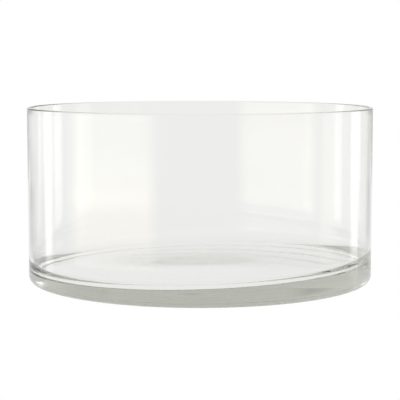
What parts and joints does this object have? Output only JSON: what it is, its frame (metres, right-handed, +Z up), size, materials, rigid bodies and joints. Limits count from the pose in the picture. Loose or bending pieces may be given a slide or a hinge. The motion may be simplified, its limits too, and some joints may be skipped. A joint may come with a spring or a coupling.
{
  "type": "crystallizing dish",
  "caption": "Straight-sided round dish of clear glass with a heavy base, rounded foot edge, plain rim and a floor that lies slightly askew.",
  "frame": {"origin": "middle of the circle that the dish stands on, at the bottom of its bounding box", "axes": "+Z up along the axis of the dish. The floor tips along X, and is highest at +X. The XZ plane is the dish's mirror plane."},
  "size_m": [0.25, 0.25, 0.126],
  "materials": {
    "clear_glass": "clear polished soda-lime glass with a faint grey-green tint where it is thick"
  },
  "bodies": {
    "root": {"glass_dish": "clear_glass"}
  },
  "joints": []
}
